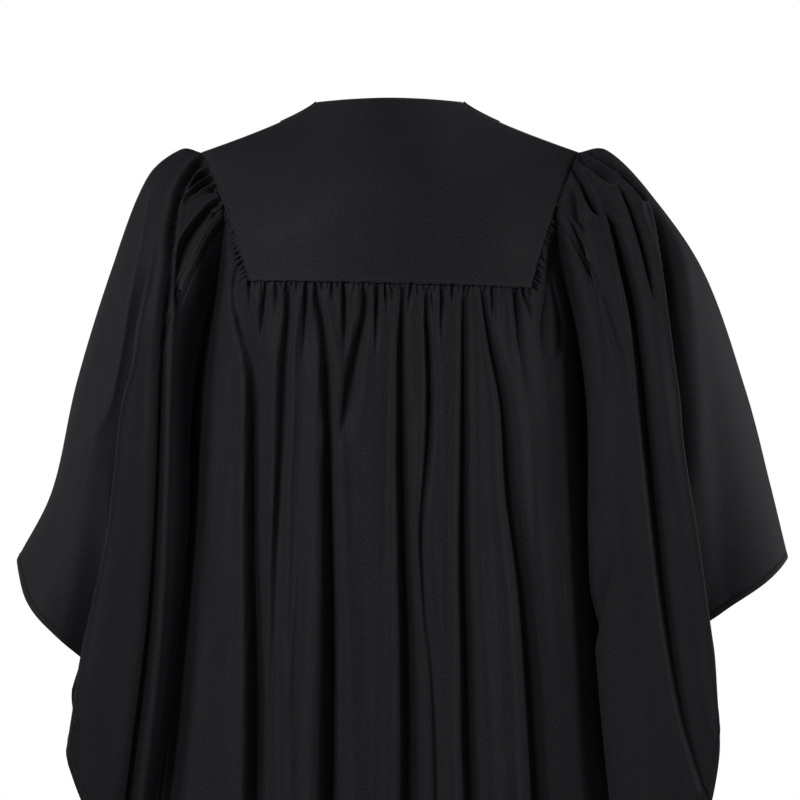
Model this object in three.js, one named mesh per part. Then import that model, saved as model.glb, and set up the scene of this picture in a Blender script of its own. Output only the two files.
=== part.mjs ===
import * as THREE from "three";

// A graduation gown, worn open: a smooth back yoke, a back panel gathered to it, two plain fronts
// with a narrow band along each front edge, and two wide open sleeves gathered at their heads.
// Millimetres. X points to the wearer's right, Y to the wearer's front and Z up. The origin is the
// middle of the neck opening, level with the neck corners. A drop is a depth below that level.

// The cloth's wall, the space left at each seam and the extra thickness of a turned hem.
const WALL = 1.5;
const SEAM = 0.3;
const HEM_EXTRA = 0.9;
const GOWN_DROP = 1190;

// The shoulders and the neck opening. The peak is where the two shoulder lines would meet.
const SHOULDER_HALF = 214;
const SHOULDER_DROP = 57;
const SHOULDER_HOLLOW = 0.8;
const NECK_HALF = 83;
const NECK_RISE = 1;
const NECK_PEAK = 54;
const NECK_PEAK_ROUND = 1.5;

// The yoke narrows to its bottom seam. Its rise is the drop over which it rounds out to the back.
const YOKE_DROP = 210;
const YOKE_TILT = 0.025;
const YOKE_CORNER_HALF = 157;
const YOKE_SIDE_BOW = 4;
const YOKE_RISE = 150;
const YOKE_ROUND = 0.85;

// The armhole. Its corner is the share of the yoke's side that the sleeve is sewn to.
const ARMHOLE_CORNER = 0.51;
const ARMHOLE_DEPTH = 220;
const ARMHOLE_DROP = 355;
const ARMHOLE_FRONT_DIP = 22;
const ARMHOLE_GAP = 0.6;

// The fronts and the band along each free edge, which stands a little off its front at the neck.
const FRONT_RISE = 150;
const FRONT_ROUND = 0.8;
const FRONT_FOLD_BEGIN = 0.2;
const BAND_WIDTH = 42;
const BAND_LIFT = 3;
const BAND_LIFT_DROP = 60;

// The gathers at the top of the back panel, and how its long folds begin, lean and end at its sides.
const GATHER_DEPTH = 3;
const SIDE_GATHERS = 7;
const SIDE_GATHER_REACH = 45;
const COLUMNS_PER_GATHER = 4;
const FOLD_BEGIN = 30;
const FULL_LEAN_DEPTH = 16;
const SIDE_FADE_TURN = 0.12;

const UP = new THREE.Vector3(0, 0, 1);
const FORWARD = new THREE.Vector3(0, 1, 0);

// The hollow body of the gown, without its folds: half widths and depths of its level sections.
const BODY = [
  { drop: 40, half: 214, back: 112, front: 70 },
  { drop: 135, half: 204, back: 126, front: 106 },
  { drop: 210, half: 205, back: 132, front: 118 },
  { drop: 355, half: 225, back: 140, front: 128 },
  { drop: 630, half: 258, back: 155, front: 140 },
  { drop: 800, half: 280, back: 170, front: 152 },
  { drop: 1190, half: 340, back: 212, front: 190 },
];

// The gathers at the bottom seam of the yoke: where each valley meets the seam, across from the
// centre back, and how far below the seam it still shows.
const GATHERS = [
  { at: -157, reach: 80 },
  { at: -143, reach: 60 },
  { at: -131, reach: 28 },
  { at: -115, reach: 120 },
  { at: -97, reach: 50 },
  { at: -80, reach: 120 },
  { at: -67, reach: 28 },
  { at: -53, reach: 75 },
  { at: -41, reach: 25 },
  { at: -30, reach: 110 },
  { at: -12, reach: 70 },
  { at: 0, reach: 28 },
  { at: 16, reach: 120 },
  { at: 27, reach: 28 },
  { at: 42, reach: 100 },
  { at: 57, reach: 45 },
  { at: 72, reach: 30 },
  { at: 83, reach: 120 },
  { at: 94, reach: 25 },
  { at: 106, reach: 110 },
  { at: 117, reach: 50 },
  { at: 130, reach: 28 },
  { at: 143, reach: 75 },
  { at: 157, reach: 60 },
];

// The long folds of the back panel: how far across from the centre back each valley lies at four
// heights, its depth at the same heights, the width of its left and right side and its sideways lean.
const FOLD_DROPS = { seam: 210, upper: 420, low: 800, hem: 1190 };
const BACK_FOLDS = [
  { seam: -196, upper: -222, low: -262, hem: -306, depths: [0, 5, 16, 26], left: 26, right: 26, lean: 0 },
  { seam: -180, upper: -205, low: -215, hem: -236, depths: [0, 4, 9, 20], left: 24, right: 24, lean: 0 },
  { seam: -159, upper: -158, low: -153, hem: -166, depths: [2, 16, 26, 32], left: 13, right: 24, lean: -5 },
  { seam: -115, upper: -127, low: -134, hem: -122, depths: [3, 13, 16, 24], left: 17, right: 15, lean: 3 },
  { seam: -80, upper: -72, low: -65, hem: -62, depths: [3, 18, 28, 32], left: 20, right: 11, lean: 5 },
  { seam: -30, upper: -60, low: -66, hem: -60, depths: [4, 9, 0, 0], left: 14, right: 11, lean: 2 },
  { seam: 16, upper: 13, low: 14, hem: 4, depths: [3, 16, 27, 30], left: 17, right: 22, lean: -3 },
  { seam: 42, upper: 42, low: 46, hem: 56, depths: [3, 10, 9, 20], left: 13, right: 15, lean: 0 },
  { seam: 83, upper: 82, low: 90, hem: 112, depths: [3, 14, 20, 28], left: 15, right: 22, lean: -4 },
  { seam: 107, upper: 127, low: 160, hem: 176, depths: [3, 14, 26, 32], left: 20, right: 18, lean: 4 },
  { seam: 150, upper: 168, low: 196, hem: 226, depths: [0, 4, 8, 22], left: 16, right: 20, lean: 0 },
  { seam: 196, upper: 214, low: 252, hem: 296, depths: [0, 6, 16, 26], left: 24, right: 26, lean: 0 },
];

// The soft upright folds of a front, by their share of the way from the front edge to the side.
const FRONT_FOLDS = [
  { share: 0.4, hemShare: 0.36, depth: 3, hemDepth: 22, width: 0.085 },
  { share: 0.62, hemShare: 0.56, depth: 4, hemDepth: 26, width: 0.075 },
  { share: 0.82, hemShare: 0.78, depth: 2, hemDepth: 24, width: 0.075 },
];

// Sections of both sleeves, from the armhole (0) to the hem (1). inner: how far out the line beside
// the body lies, and its drop. front: how far the sleeve stands out before the arm, and how far its
// front hangs below a straight line between the outer and the inner line.
const BOTH_SLEEVES = [
  { along: 0, inner: 225, innerDrop: 355, front: 52, frontSag: 0 },
  { along: 0.06, inner: 229, innerDrop: 372, front: 62, frontSag: 3 },
  { along: 0.15, inner: 237, innerDrop: 405, front: 72, frontSag: 6 },
  { along: 0.32, inner: 252, innerDrop: 480, front: 84, frontSag: 18 },
  { along: 0.55, inner: 271, innerDrop: 586, front: 92, frontSag: 42 },
  { along: 0.8, inner: 291, innerDrop: 696, front: 98, frontSag: 66 },
  { along: 1, inner: 308, innerDrop: 782, front: 102, frontSag: 84 },
];

// Sections of each sleeve. outer: how far out the line over the arm lies, and its drop. back and
// sag: the same as front and frontSag, behind the arm. tuck: how far the back reaches in behind the
// body. bay: how far the hem draws in beside the first long fold.
const LEFT_SLEEVE = [
  { along: 0, outer: 214, outerDrop: 57, back: 62, sag: 0, tuck: 0, bay: 0 },
  { along: 0.06, outer: 238, outerDrop: 54, back: 74, sag: 4, tuck: 3, bay: 0 },
  { along: 0.15, outer: 276, outerDrop: 86, back: 90, sag: 10, tuck: 16, bay: 0 },
  { along: 0.32, outer: 317, outerDrop: 190, back: 106, sag: 34, tuck: 42, bay: 0 },
  { along: 0.55, outer: 356, outerDrop: 316, back: 122, sag: 78, tuck: 54, bay: 4 },
  { along: 0.8, outer: 384, outerDrop: 440, back: 134, sag: 122, tuck: 58, bay: 16 },
  { along: 1, outer: 424, outerDrop: 520, back: 142, sag: 157, tuck: 58, bay: 42 },
];
const RIGHT_SLEEVE = [
  { along: 0, outer: 214, outerDrop: 57, back: 62, sag: 0, tuck: 0, bay: 0 },
  { along: 0.06, outer: 246, outerDrop: 54, back: 74, sag: 5, tuck: 4, bay: 0 },
  { along: 0.15, outer: 292, outerDrop: 97, back: 90, sag: 14, tuck: 20, bay: 0 },
  { along: 0.32, outer: 356, outerDrop: 190, back: 108, sag: 50, tuck: 54, bay: 2 },
  { along: 0.55, outer: 404, outerDrop: 326, back: 124, sag: 112, tuck: 70, bay: 10 },
  { along: 0.8, outer: 433, outerDrop: 438, back: 138, sag: 178, tuck: 76, bay: 30 },
  { along: 1, outer: 453, outerDrop: 521, back: 148, sag: 230, tuck: 78, bay: 57 },
];

// Where round the back of a sleeve its hem draws in, and how its ring eases from outer to inner.
const LEFT_BAY = { at: 0.3, width: 0.1, ease: 0.95 };
const RIGHT_BAY = { at: 0.2, width: 0.14, ease: 0.8 };
const BAY_START = 0.14;
const RING_ROUND = 0.62;

// The long folds of a sleeve: the start, middle and end of each valley, as a distance from the
// centre back and a drop, its depth and sideways lean there, and the widths of its outer and inner
// sides.
const LEFT_SLEEVE_FOLDS = [
  { from: [288, 112], by: [312, 400], to: [356, 650], depth: [0, 24, 40], lean: [0, -6, -16], wide: [38, 9] },
  { from: [236, 78], by: [264, 330], to: [274, 640], depth: [6, 22, 30], lean: [0, 4, 4], wide: [15, 20] },
  { from: [214, 112], by: [236, 190], to: [240, 260], depth: [5, 8, 0], lean: [0, 0, 0], wide: [13, 13] },
];
const RIGHT_SLEEVE_FOLDS = [
  { from: [298, 104], by: [334, 378], to: [368, 620], depth: [4, 24, 40], lean: [0, -8, -18], wide: [44, 10] },
  { from: [250, 78], by: [282, 340], to: [312, 600], depth: [6, 22, 14], lean: [0, 4, 4], wide: [11, 24] },
  { from: [214, 82], by: [240, 122], to: [246, 150], depth: [5, 8, 0], lean: [0, 0, 0], wide: [12, 12] },
];
const SLEEVE_FRONT_FOLDS = [
  { from: [250, 90], by: [290, 350], to: [338, 620], depth: [3, 16, 30], lean: [0, 0, 0], wide: [30, 16] },
  { from: [232, 130], by: [262, 400], to: [296, 660], depth: [3, 14, 24], lean: [0, 0, 0], wide: [20, 20] },
];
const FOLD_END_FADE = 30;

// A sleeve's ring runs from the shoulder point down the back to the underarm and up the front.
// Each stretch ends at a share of the ring and is gathered into a number of waves, or left smooth.
const RING = [
  { to: 0.24, gathers: 6, columns: 24 },
  { to: 0.5, gathers: 0, columns: 11 },
  { to: 0.72, gathers: 0, columns: 8 },
  { to: 1, gathers: 7, columns: 28 },
];
const RING_CORNER = RING[0].to;
const UNDERARM = RING[1].to;
const RING_MIDDLE = 0.4;
const HEAD_GATHER_DEPTH = 4;
const HEAD_GATHER_PEAK = 0.05;
const HEAD_BLEND = 0.3;
const LAYER_OPEN = 0.5;
const FOLD_START = 0.04;
const FOLD_GROW = 0.12;
const SLEEVE_ROWS = [0, 0.03, 0.08, 0.15, 0.26, 0.4, 0.54, 0.68, 0.83, 0.975, 1];

// Rows of the panels: a drop below the top seam in a panel of the back's length.
const BACK_ROWS = [0, 9, 24, 50, 95, 170, 270, 390, 520, 650, 790, 966, 980];
const BACK_FINE_ROWS = 4;
const FRONT_ROWS = [0, 0.03, 0.075, 0.13, 0.2, 0.3, 0.42, 0.55, 0.69, 0.84, 0.988, 1];
const FRONT_COLUMNS = 13;
const BAND_COLUMNS = 3;
const YOKE_ROWS = [0, 0.1, 0.25, 0.42, 0.6, 0.8, 1];
const YOKE_SHOULDER_COLUMNS = 6;
const YOKE_NECK_COLUMNS = 12;

const mix = (from, to, share) => from + (to - from) * share;
const clamp = (value) => Math.min(1, Math.max(0, value));
const smooth = (value) => clamp(value) ** 2 * (3 - 2 * clamp(value));

// The value of a column on a smooth curve through a table's rows, which rise by their key.
function curve(rows, key, column, at) {
  const end = rows.length - 1;
  let low = 0;
  while (low < end - 1 && rows[low + 1][key] <= at) {
    low += 1;
  }
  const slope = (row) => {
    const before = rows[Math.max(0, row - 1)];
    const after = rows[Math.min(end, row + 1)];
    return (after[column] - before[column]) / (after[key] - before[key]);
  };
  const span = rows[low + 1][key] - rows[low][key];
  const share = clamp((at - rows[low][key]) / span);
  const rise = smooth(share);
  const leave = share * (1 - share) ** 2 * span * slope(low);
  const arrive = share ** 2 * (share - 1) * span * slope(low + 1);
  return mix(rows[low][column], rows[low + 1][column], rise) + leave + arrive;
}

const bodyHalf = (drop) => curve(BODY, "drop", "half", drop);
const bodyBack = (drop) => curve(BODY, "drop", "back", drop);
const bodyFront = (drop) => curve(BODY, "drop", "front", drop);

// The shoulder line, and the ridge that it would follow up to a peak inside the neck opening.
function shoulderDrop(across) {
  const share = clamp((Math.abs(across) - NECK_HALF) / (SHOULDER_HALF - NECK_HALF));
  return SHOULDER_DROP * share ** SHOULDER_HOLLOW;
}

function ridgeDrop(across) {
  const fromMiddle = clamp(Math.abs(across) / NECK_HALF);
  return shoulderDrop(across) - NECK_PEAK * (1 - fromMiddle ** NECK_PEAK_ROUND);
}

// The yoke, from the left shoulder (-1) to the right (1) and from the neck (0) to its seam (1).
function yokeHalf(down) {
  return mix(SHOULDER_HALF, YOKE_CORNER_HALF, down) - YOKE_SIDE_BOW * 4 * down * (1 - down);
}

function yokePoint(across, down) {
  const top = across * SHOULDER_HALF;
  const low = across * YOKE_CORNER_HALF;
  const neck = Math.max(0, 1 - (top / NECK_HALF) ** 2);
  const topDrop = shoulderDrop(top) - NECK_RISE * neck;
  const drop = mix(topDrop, YOKE_DROP + YOKE_TILT * low, down);
  const out = across * yokeHalf(down);
  const round = Math.sqrt(Math.max(0, 1 - (out / bodyHalf(drop)) ** 2));
  const below = clamp((drop - ridgeDrop(out)) / YOKE_RISE);
  const rise = Math.sin((below * Math.PI) / 2) ** YOKE_ROUND;
  return new THREE.Vector3(out, -bodyBack(drop) * round * rise, -drop);
}

// The direction across the slanted side of the yoke, away from its middle.
function acrossYokeSide(side) {
  const width = SHOULDER_HALF - YOKE_CORNER_HALF;
  const height = YOKE_DROP - SHOULDER_DROP;
  return new THREE.Vector3(side * height, 0, -width).normalize();
}

// Where the top of the back panel meets the yoke. Gathers are counted from the armhole corner on
// the left, along the left side, the bottom and the right side of the yoke.
const BOTTOM_GATHERS = GATHERS.length - 1;
const ALL_GATHERS = BOTTOM_GATHERS + 2 * SIDE_GATHERS;

function backSeam(gather) {
  const fromLeft = gather / SIDE_GATHERS;
  const fromRight = (ALL_GATHERS - gather) / SIDE_GATHERS;
  const along = Math.min(fromLeft, fromRight);
  if (along <= 1) {
    const side = fromLeft <= 1 ? -1 : 1;
    const point = yokePoint(side, mix(ARMHOLE_CORNER, 1, along));
    return { point, reach: SIDE_GATHER_REACH, side, low: along === 1 };
  }
  const place = gather - SIDE_GATHERS;
  const start = Math.floor(place);
  const left = GATHERS[start];
  const right = GATHERS[start + 1];
  const across = mix(left.at, right.at, place - start) / YOKE_CORNER_HALF;
  const reach = mix(left.reach, right.reach, smooth(place - start));
  return { point: yokePoint(across, 1), reach, side: 0, low: true };
}

// A value given at the four heights of the fold table, on a smooth curve between them.
function atHeight(values, drop) {
  const drops = Object.values(FOLD_DROPS);
  const rows = drops.map((height, index) => ({ height, value: values[index] }));
  return curve(rows, "height", "value", Math.max(drop, drops[0]));
}

// A soft valley whose two sides have their own widths.
function valley(distance, before, after) {
  const width = distance < 0 ? before : after;
  return Math.exp(-((distance / width) ** 2));
}

// A point of the back panel, a drop below the yoke's seam, with its gathers and its long folds.
function backPoint(gather, below) {
  const seam = backSeam(gather);
  const seamDrop = -seam.point.z;
  const drop = seamDrop + below;
  const half = bodyHalf(drop);
  const back = bodyBack(drop);
  const seamTurn = Math.asin(Math.min(1, Math.max(-1, seam.point.x / bodyHalf(seamDrop))));
  const hemTurn = ((2 * gather) / ALL_GATHERS - 1) * (Math.PI / 2);
  const turn = mix(seamTurn, hemTurn, smooth(below / ARMHOLE_DEPTH));
  const point = new THREE.Vector3(half * Math.sin(turn), -back * Math.cos(turn), -drop);

  const seamBase = new THREE.Vector3(
    bodyHalf(seamDrop) * Math.sin(seamTurn),
    -bodyBack(seamDrop) * Math.cos(seamTurn),
    seam.point.z,
  );
  const settle = 1 - smooth(below / ARMHOLE_DEPTH);
  point.addScaledVector(seam.point.clone().sub(seamBase), settle);

  const arc = Math.hypot(half * Math.cos(turn), back * Math.sin(turn));
  const inward = new THREE.Vector3(-Math.sin(turn) / half, Math.cos(turn) / back, 0).normalize();
  const sideways = new THREE.Vector3(half * Math.cos(turn), back * Math.sin(turn), 0).normalize();
  const atSide = smooth((Math.PI / 2 - Math.abs(turn)) / SIDE_FADE_TURN);
  for (const fold of BACK_FOLDS) {
    const across = atHeight([fold.seam, fold.upper, fold.low, fold.hem], drop) / half;
    const foldTurn = Math.asin(Math.min(1, Math.max(-1, across)));
    const dent = valley((turn - foldTurn) * arc, fold.left, fold.right) * atSide;
    const depth = Math.max(0, atHeight(fold.depths, drop)) * smooth(below / FOLD_BEGIN);
    point.addScaledVector(inward, dent * depth);
    point.addScaledVector(sideways, dent * fold.lean * smooth(depth / FULL_LEAN_DEPTH));
  }

  const inArmhole = smooth(gather) * smooth(ALL_GATHERS - gather);
  const wave = Math.cos(2 * Math.PI * gather) * inArmhole;
  point.y += wave * GATHER_DEPTH * Math.exp(-((below / seam.reach) ** 2));
  if (seam.side !== 0) {
    point.addScaledVector(acrossYokeSide(seam.side), SEAM * settle);
  }
  return point;
}

// How far a front stands forward, and where its armhole and side seam lie.
function frontDepth(across, drop, topDrop) {
  const round = Math.sqrt(Math.max(0, 1 - (across / bodyHalf(drop)) ** 2));
  const rise = Math.sin((clamp((drop - topDrop) / FRONT_RISE) * Math.PI) / 2) ** FRONT_ROUND;
  return bodyFront(drop) * round * rise;
}

function frontOuter(drop) {
  const share = clamp((drop - SHOULDER_DROP) / (ARMHOLE_DROP - SHOULDER_DROP));
  return bodyHalf(drop) - ARMHOLE_FRONT_DIP * Math.sin(share * Math.PI);
}

// A front, from its free edge (0) to the armhole and side seam (1).
const FRONT_EDGE = [
  { drop: 0, across: 83 },
  { drop: 120, across: 74 },
  { drop: 300, across: 70 },
  { drop: 1190, across: 92 },
];

function frontPoint(side, share, down) {
  const topDrop = shoulderDrop(mix(NECK_HALF, SHOULDER_HALF, share));
  const drop = mix(topDrop, GOWN_DROP, down);
  const across = mix(curve(FRONT_EDGE, "drop", "across", drop), frontOuter(drop), share);
  let depth = frontDepth(across, drop, topDrop);
  for (const fold of FRONT_FOLDS) {
    const place = mix(fold.share, fold.hemShare, down);
    const dent = valley(share - place, fold.width, fold.width);
    depth -= dent * mix(fold.depth, fold.hemDepth, down) * smooth(down / FRONT_FOLD_BEGIN);
  }
  return new THREE.Vector3(side * across, depth, -drop);
}

// The drop below its own seam of a row of the back panel, for a column that starts at a point.
const BACK_HEM = BACK_ROWS[BACK_ROWS.length - 1];
const backBelow = (row, start) => ((GOWN_DROP + start.z) * row) / BACK_HEM;

// The straight stretches of a panel's side edge, at a drop.
function onEdge(points, drop) {
  let low = 0;
  while (low < points.length - 2 && -points[low + 1].z < drop) {
    low += 1;
  }
  const share = clamp((drop + points[low].z) / (points[low].z - points[low + 1].z));
  return points[low].clone().lerp(points[low + 1], share);
}

// The loop of the armhole that a sleeve is sewn to.
function armhole(side, around) {
  if (around <= RING_CORNER) {
    return yokePoint(side, (ARMHOLE_CORNER * around) / RING_CORNER);
  }
  if (around <= UNDERARM) {
    const gather = side < 0 ? 0 : ALL_GATHERS;
    const start = backSeam(gather).point;
    const edge = BACK_ROWS.map((row) => backPoint(gather, backBelow(row, start)));
    const share = (around - RING_CORNER) / (UNDERARM - RING_CORNER);
    return onEdge(edge, mix(-start.z, ARMHOLE_DROP, share));
  }
  const edge = FRONT_ROWS.map((down) => frontPoint(side, 1, down));
  return onEdge(edge, mix(SHOULDER_DROP, ARMHOLE_DROP, (1 - around) / (1 - UNDERARM)));
}

// A sleeve's ring without its folds: a loop that hangs from the line over the arm.
function sleeveRing(sleeve, around, along) {
  const { sections, bay, side } = sleeve;
  const own = (column) => curve(sections, "along", column, along);
  const shared = (column) => curve(BOTH_SLEEVES, "along", column, along);
  const behind = around <= UNDERARM;
  const share = behind ? around / UNDERARM : (1 - around) / (1 - UNDERARM);
  const depth = behind ? -own("back") : shared("front");
  const sag = behind ? own("sag") : shared("frontSag");
  const tuck = behind ? own("tuck") * Math.sin(share ** 3 * Math.PI) : 0;
  const draw = valley(share - bay.at, bay.width, bay.width) * smooth(share / BAY_START);
  const out = mix(own("outer"), shared("inner"), share ** bay.ease);
  return new THREE.Vector3(
    side * (out - tuck - own("bay") * draw),
    depth * Math.sin(share * Math.PI) ** RING_ROUND,
    -mix(own("outerDrop"), shared("innerDrop"), share) - sag * Math.sin(share ** 2 * Math.PI),
  );
}

// How a fold's valley line passes a point: the distance to it, positive towards the body, and the
// fold's depth and lean at that height.
function nearFold(fold, across, drop) {
  const start = fold.from[1];
  const end = fold.to[1];
  const line = [fold.from, fold.by, fold.to].map(([out, height], index) => ({
    height,
    out,
    depth: fold.depth[index],
    lean: fold.lean[index],
  }));
  const beyond = Math.max(0, start - drop, drop - end);
  const fade = Math.exp(-((beyond / FOLD_END_FADE) ** 2));
  return {
    distance: curve(line, "height", "out", drop) - across,
    depth: curve(line, "height", "depth", drop) * fade,
    lean: curve(line, "height", "lean", drop) * fade,
  };
}

function sleevePoint(sleeve, place, along) {
  const { side } = sleeve;
  const ring = (around, at) => sleeveRing(sleeve, around, at);
  const point = ring(place.around, along);
  const edge = armhole(side, place.around);
  const sewn = 1 - smooth(along / HEAD_BLEND);
  point.addScaledVector(edge.sub(ring(place.around, 0)), sewn);

  const behind = place.around <= UNDERARM;
  const out = Math.abs(point.x);
  const drop = -point.z;
  const inLayer = Math.sin(place.around * 2 * Math.PI) ** 2;
  const open = smooth(inLayer / LAYER_OPEN) * smooth((along - FOLD_START) / FOLD_GROW);
  for (const fold of behind ? sleeve.folds : SLEEVE_FRONT_FOLDS) {
    const near = nearFold(fold, out, drop);
    const dent = valley(near.distance, ...fold.wide) * open;
    point.y += (behind ? 1 : -1) * dent * near.depth;
    point.x += side * dent * near.lean;
  }

  const middle = ring(0, along).lerp(ring(UNDERARM, along), RING_MIDDLE);
  const outward = point.clone().sub(middle).setX(0).normalize();
  const swell = (along / HEAD_GATHER_PEAK) * Math.exp(1 - along / HEAD_GATHER_PEAK);
  const wave = place.gathered ? -Math.cos(2 * Math.PI * place.phase) : 0;
  point.addScaledVector(outward, wave * HEAD_GATHER_DEPTH * swell);
  point.x += side * (place.around < RING_CORNER ? SEAM : ARMHOLE_GAP) * sewn;
  return point;
}

// A sheet of points in rows becomes triangles. A row may have half as many spaces as the one above.
function sheet(rows, closed, turned) {
  const points = rows.flat();
  const triangles = [];
  const add = (a, b, c) => triangles.push(turned ? [a, c, b] : [a, b, c]);
  let top = 0;
  for (let row = 0; row + 1 < rows.length; row += 1) {
    const count = rows[row].length;
    const below = top + count;
    const belowCount = rows[row + 1].length;
    const spaces = closed ? belowCount : belowCount - 1;
    for (let space = 0; space < spaces; space += 1) {
      const next = (space + 1) % belowCount;
      if (belowCount === count) {
        add(top + space, below + space, below + next);
        add(top + space, below + next, top + next);
      } else {
        const middle = top + 2 * space + 1;
        add(top + 2 * space, below + space, middle);
        add(middle, below + space, below + next);
        add(middle, below + next, top + 2 * space + 2);
      }
    }
    top = below;
  }
  return { points, triangles };
}

// Outward directions at a sheet's points. At a seam they lie square to the direction across it.
function outwards(points, triangles, seams) {
  const directions = points.map(() => new THREE.Vector3());
  for (const [a, b, c] of triangles) {
    const first = points[b].clone().sub(points[a]);
    const second = points[c].clone().sub(points[a]);
    const face = first.cross(second).normalize();
    directions[a].add(face);
    directions[b].add(face);
    directions[c].add(face);
  }
  return directions.map((direction, index) => {
    for (const across of seams[index] || []) {
      direction.addScaledVector(across, -direction.dot(across));
    }
    return direction.normalize();
  });
}

// A closed wall between two offsets of a sheet, with a rim along its free edges.
function wall(points, triangles, directions, inner, outer) {
  const place = (offsets) =>
    points.flatMap((point, index) => {
      const offset = Array.isArray(offsets) ? offsets[index] : offsets;
      return point.clone().addScaledVector(directions[index], offset).toArray();
    });
  const count = points.length;
  const faces = [];
  const edges = new Map();
  for (const [a, b, c] of triangles) {
    faces.push(a, b, c, a + count, c + count, b + count);
    for (const [from, to] of [[a, b], [b, c], [c, a]]) {
      if (!edges.delete(`${to},${from}`)) {
        edges.set(`${from},${to}`, [from, to]);
      }
    }
  }
  for (const [from, to] of edges.values()) {
    faces.push(to, from, from + count, to, from + count, to + count);
  }
  const geometry = new THREE.BufferGeometry();
  const places = [...place(outer), ...place(inner)];
  geometry.setAttribute("position", new THREE.Float32BufferAttribute(places, 3));
  geometry.setIndex(faces);
  geometry.computeVertexNormals();
  return geometry;
}

const gown = new THREE.Group();
gown.name = "graduation_gown";

function piece(name, geometry) {
  const cloth = new THREE.MeshStandardMaterial({ color: 0x1b1b1e, roughness: 0.75, metalness: 0 });
  cloth.name = "black_cloth";
  const mesh = new THREE.Mesh(geometry, cloth);
  mesh.name = name;
  gown.add(mesh);
}

// The back yoke. Its columns fall on the neck corners.
const neckShare = NECK_HALF / SHOULDER_HALF;
const yokeColumns = [];
for (let column = 0; column < YOKE_SHOULDER_COLUMNS; column += 1) {
  yokeColumns.push(mix(-1, -neckShare, column / YOKE_SHOULDER_COLUMNS));
}
for (let column = 0; column <= YOKE_NECK_COLUMNS; column += 1) {
  yokeColumns.push(-neckShare * Math.cos((column / YOKE_NECK_COLUMNS) * Math.PI));
}
for (let column = 1; column <= YOKE_SHOULDER_COLUMNS; column += 1) {
  yokeColumns.push(mix(neckShare, 1, column / YOKE_SHOULDER_COLUMNS));
}
const yokeRows = YOKE_ROWS.map((down) => yokeColumns.map((across) => yokePoint(across, down)));
const yoke = sheet(yokeRows, false, false);
const yokeSeams = YOKE_ROWS.flatMap((down) =>
  yokeColumns.map((across) => {
    const seams = [];
    if (down === 0 && Math.abs(across) >= neckShare) {
      seams.push(FORWARD);
    }
    if (down === 1) {
      seams.push(UP);
    }
    if (Math.abs(across) === 1 && down < 1) {
      seams.push(acrossYokeSide(across));
    }
    return seams;
  }),
);
const yokeOut = outwards(yoke.points, yoke.triangles, yokeSeams);
piece("back_yoke", wall(yoke.points, yoke.triangles, yokeOut, -WALL, 0));

// The back panel, with four columns to a gather in its upper rows and two below them.
const backSeams = [];
const backRows = BACK_ROWS.map((row, index) => {
  const step = index <= BACK_FINE_ROWS ? 1 : 2;
  const points = [];
  for (let column = 0; column <= ALL_GATHERS * COLUMNS_PER_GATHER; column += step) {
    const gather = column / COLUMNS_PER_GATHER;
    const seam = backSeam(gather);
    const gap = index === 0 && seam.low ? SEAM : 0;
    points.push(backPoint(gather, backBelow(row, seam.point) + gap));
    const across = seam.low ? UP : acrossYokeSide(seam.side);
    const atSide = gather === 0 || gather === ALL_GATHERS ? [FORWARD] : [];
    backSeams.push(index === 0 ? [across] : atSide);
  }
  return points;
});
const backThick = backRows.flatMap((points, index) =>
  points.map(() => (index === backRows.length - 1 ? -WALL - HEM_EXTRA : -WALL)),
);
const back = sheet(backRows, false, false);
const backOut = outwards(back.points, back.triangles, backSeams);
piece("back_panel", wall(back.points, back.triangles, backOut, backThick, 0));

// The fronts, and the band that lies on each along its free edge.
for (const [label, side] of [["left", -1], ["right", 1]]) {
  const rows = FRONT_ROWS.map((down) => {
    const points = [];
    for (let column = 0; column <= BAND_COLUMNS + FRONT_COLUMNS; column += 1) {
      const top = frontPoint(side, 0, down);
      const bandShare = BAND_WIDTH / (frontOuter(-top.z) - Math.abs(top.x));
      const inBand = (bandShare * column) / BAND_COLUMNS;
      const beyond = mix(bandShare, 1, (column - BAND_COLUMNS) / FRONT_COLUMNS);
      const point = frontPoint(side, column <= BAND_COLUMNS ? inBand : beyond, down);
      point.y += down === 0 ? SEAM : 0;
      point.y += column === BAND_COLUMNS + FRONT_COLUMNS ? SEAM : 0;
      points.push(point);
    }
    return points;
  });
  const columns = BAND_COLUMNS + FRONT_COLUMNS;
  const seams = rows.flatMap((points, row) =>
    points.map((point, column) => (row === 0 || column === columns ? [FORWARD] : [])),
  );
  const front = sheet(rows, false, side > 0);
  const directions = outwards(front.points, front.triangles, seams);
  const thick = rows.flatMap((points, row) =>
    points.map(() => (row === rows.length - 1 ? -WALL - HEM_EXTRA : -WALL)),
  );
  piece(`front_${label}`, wall(front.points, front.triangles, directions, thick, 0));

  const bandRows = rows.map((points) => points.slice(0, BAND_COLUMNS + 1));
  const band = sheet(bandRows, false, side > 0);
  const bandDirections = rows.flatMap((points, row) =>
    points.slice(0, BAND_COLUMNS + 1).map((point, column) => directions[row * (columns + 1) + column]),
  );
  const lift = (point) => SEAM + BAND_LIFT * (1 - smooth(-point.z / BAND_LIFT_DROP));
  const under = band.points.map((point) => lift(point));
  const over = band.points.map((point) => lift(point) + WALL);
  piece(`band_${label}`, wall(band.points, band.triangles, bandDirections, under, over));
}

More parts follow.
